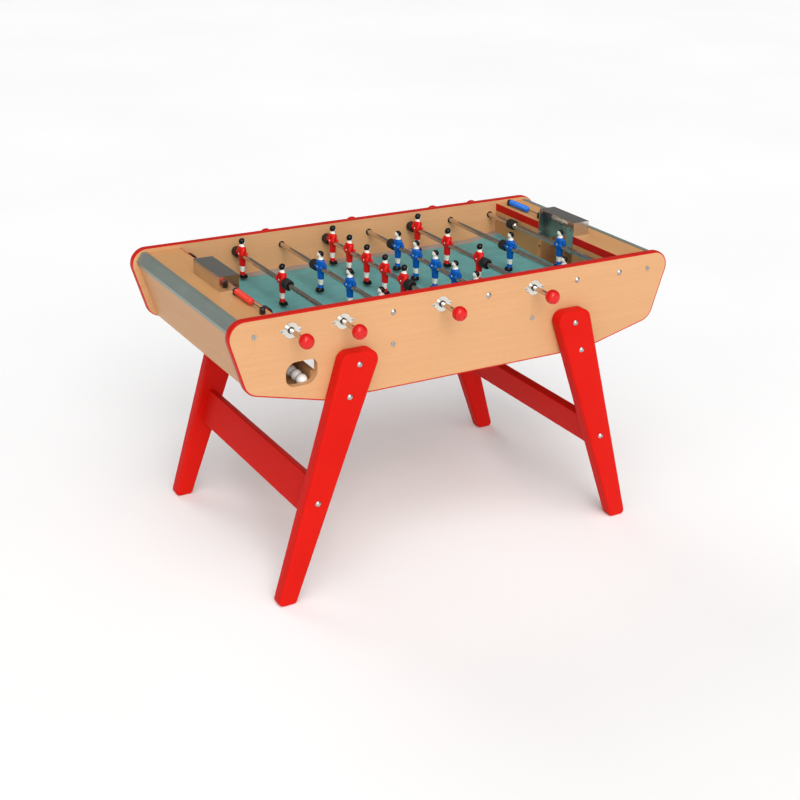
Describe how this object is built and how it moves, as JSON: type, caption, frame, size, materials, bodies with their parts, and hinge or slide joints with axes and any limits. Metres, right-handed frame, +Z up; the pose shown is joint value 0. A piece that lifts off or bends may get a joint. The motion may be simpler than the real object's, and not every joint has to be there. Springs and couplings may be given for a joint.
{
  "type": "table football table",
  "caption": "Table football table: wooden cabinet with leaning ends on splayed legs, telescopic rods of cast men, open steel goal hoods, bead score counters and ball outlets.",
  "frame": {"origin": "on the floor under the middle of the table", "axes": "+X along the table, to the right of the red players who stand in front; +Y from front to rear; +Z up"},
  "size_m": [1.5064, 0.9898, 0.924],
  "materials": {
    "beech": "varnished, fine straight grain",
    "inner_wood": "plain board",
    "red_band": "satin edge band",
    "red_leg": "satin red lacquer",
    "grey_trim": "painted, satin",
    "hood_steel": "brushed outside, bright inside",
    "plate_steel": "satin",
    "bolt_steel": "bright",
    "chrome": "polished",
    "field_lino": "fine matt texture",
    "strip_lino": "matt",
    "black_plastic": "satin",
    "rubber": "matt",
    "red_plastic": "glossy",
    "blue_plastic": "glossy",
    "red_man": "hand-painted casting",
    "blue_man": "hand-painted casting",
    "white_ball": "matt"
  },
  "bodies": {
    "cabinet": {"front_side_panel": "beech", "rear_side_panel": "beech", "edge_bands": "red_band", "end_panels": "beech", "end_decks": "beech", "corner_trims": "grey_trim", "goal_walls": "beech", "goal_boxes": "inner_wood", "goal_hoods": "hood_steel", "ball_troughs": "inner_wood", "playfield_board": "inner_wood", "playfield_cover": "field_lino", "side_strips": "strip_lino", "score_posts": "black_plastic", "score_wires": "chrome", "front_left_leg": "red_leg", "front_right_leg": "red_leg", "rear_left_leg": "red_leg", "rear_right_leg": "red_leg", "stretchers": "red_leg", "dome_bolts": "bolt_steel", "panel_screws": "bolt_steel", "inner_bars": "chrome", "rod_bushes": "black_plastic", "bush_plates": "plate_steel"},
    "red_beads": {"red_score_beads": "red_plastic"},
    "blue_beads": {"blue_score_beads": "blue_plastic"},
    "ball_row": {"balls": "white_ball"},
    "red_keeper_slider": {"red_keeper_bumpers": "rubber"},
    "red_keeper_turner": {"red_keeper_tube": "chrome", "red_keeper_men": "red_man", "red_keeper_knob": "red_plastic"},
    "red_defence_slider": {"red_defence_bumpers": "rubber"},
    "red_defence_turner": {"red_defence_tube": "chrome", "red_defence_men": "red_man", "red_defence_knob": "red_plastic"},
    "blue_attack_slider": {"blue_attack_bumpers": "rubber"},
    "blue_attack_turner": {"blue_attack_tube": "chrome", "blue_attack_men": "blue_man", "blue_attack_knob": "red_plastic"},
    "red_midfield_slider": {"red_midfield_bumpers": "rubber"},
    "red_midfield_turner": {"red_midfield_tube": "chrome", "red_midfield_men": "red_man", "red_midfield_knob": "red_plastic"},
    "blue_midfield_slider": {"blue_midfield_bumpers": "rubber"},
    "blue_midfield_turner": {"blue_midfield_tube": "chrome", "blue_midfield_men": "blue_man", "blue_midfield_knob": "red_plastic"},
    "red_attack_slider": {"red_attack_bumpers": "rubber"},
    "red_attack_turner": {"red_attack_tube": "chrome", "red_attack_men": "red_man", "red_attack_knob": "red_plastic"},
    "blue_defence_slider": {"blue_defence_bumpers": "rubber"},
    "blue_defence_turner": {"blue_defence_tube": "chrome", "blue_defence_men": "blue_man", "blue_defence_knob": "red_plastic"},
    "blue_keeper_slider": {"blue_keeper_bumpers": "rubber"},
    "blue_keeper_turner": {"blue_keeper_tube": "chrome", "blue_keeper_men": "blue_man", "blue_keeper_knob": "red_plastic"}
  },
  "joints": [
    {"name": "red_keeper_slide", "type": "slide", "parent": "cabinet", "child": "red_keeper_slider", "axis": [0, -1, 0], "range_m": [0, 0.1252]},
    {"name": "red_keeper_turn", "type": "hinge", "parent": "red_keeper_slider", "child": "red_keeper_turner", "pos_m": [-0.567, 0, 0.842], "axis": [0, 1, 0], "continuous": true},
    {"name": "red_defence_slide", "type": "slide", "parent": "cabinet", "child": "red_defence_slider", "axis": [0, -1, 0], "range_m": [0, 0.3194]},
    {"name": "red_defence_turn", "type": "hinge", "parent": "red_defence_slider", "child": "red_defence_turner", "pos_m": [-0.405, 0, 0.842], "axis": [0, 1, 0], "continuous": true},
    {"name": "blue_attack_slide", "type": "slide", "parent": "cabinet", "child": "blue_attack_slider", "axis": [0, 1, 0], "range_m": [0, 0.2284]},
    {"name": "blue_attack_turn", "type": "hinge", "parent": "blue_attack_slider", "child": "blue_attack_turner", "pos_m": [-0.243, 0, 0.842], "axis": [0, 1, 0], "continuous": true},
    {"name": "red_midfield_slide", "type": "slide", "parent": "cabinet", "child": "red_midfield_slider", "axis": [0, -1, 0], "range_m": [0, 0.1464]},
    {"name": "red_midfield_turn", "type": "hinge", "parent": "red_midfield_slider", "child": "red_midfield_turner", "pos_m": [-0.081, 0, 0.842], "axis": [0, 1, 0], "continuous": true},
    {"name": "blue_midfield_slide", "type": "slide", "parent": "cabinet", "child": "blue_midfield_slider", "axis": [0, 1, 0], "range_m": [0, 0.1464]},
    {"name": "blue_midfield_turn", "type": "hinge", "parent": "blue_midfield_slider", "child": "blue_midfield_turner", "pos_m": [0.081, 0, 0.842], "axis": [0, 1, 0], "continuous": true},
    {"name": "red_attack_slide", "type": "slide", "parent": "cabinet", "child": "red_attack_slider", "axis": [0, -1, 0], "range_m": [0, 0.2284]},
    {"name": "red_attack_turn", "type": "hinge", "parent": "red_attack_slider", "child": "red_attack_turner", "pos_m": [0.243, 0, 0.842], "axis": [0, 1, 0], "continuous": true},
    {"name": "blue_defence_slide", "type": "slide", "parent": "cabinet", "child": "blue_defence_slider", "axis": [0, 1, 0], "range_m": [0, 0.3194]},
    {"name": "blue_defence_turn", "type": "hinge", "parent": "blue_defence_slider", "child": "blue_defence_turner", "pos_m": [0.405, 0, 0.842], "axis": [0, 1, 0], "continuous": true},
    {"name": "blue_keeper_slide", "type": "slide", "parent": "cabinet", "child": "blue_keeper_slider", "axis": [0, 1, 0], "range_m": [0, 0.1252]},
    {"name": "blue_keeper_turn", "type": "hinge", "parent": "blue_keeper_slider", "child": "blue_keeper_turner", "pos_m": [0.567, 0, 0.842], "axis": [0, 1, 0], "continuous": true},
    {"name": "red_beads_slide", "type": "slide", "parent": "cabinet", "child": "red_beads", "axis": [0, -1, 0], "range_m": [0, 0.0607]},
    {"name": "blue_beads_slide", "type": "slide", "parent": "cabinet", "child": "blue_beads", "axis": [0, -1, 0], "range_m": [0, 0.0607]},
    {"name": "ball_row_slide", "type": "slide", "parent": "cabinet", "child": "ball_row", "axis": [0, 0.9997, 0.0264], "range_m": [0, 0.3]}
  ]
}
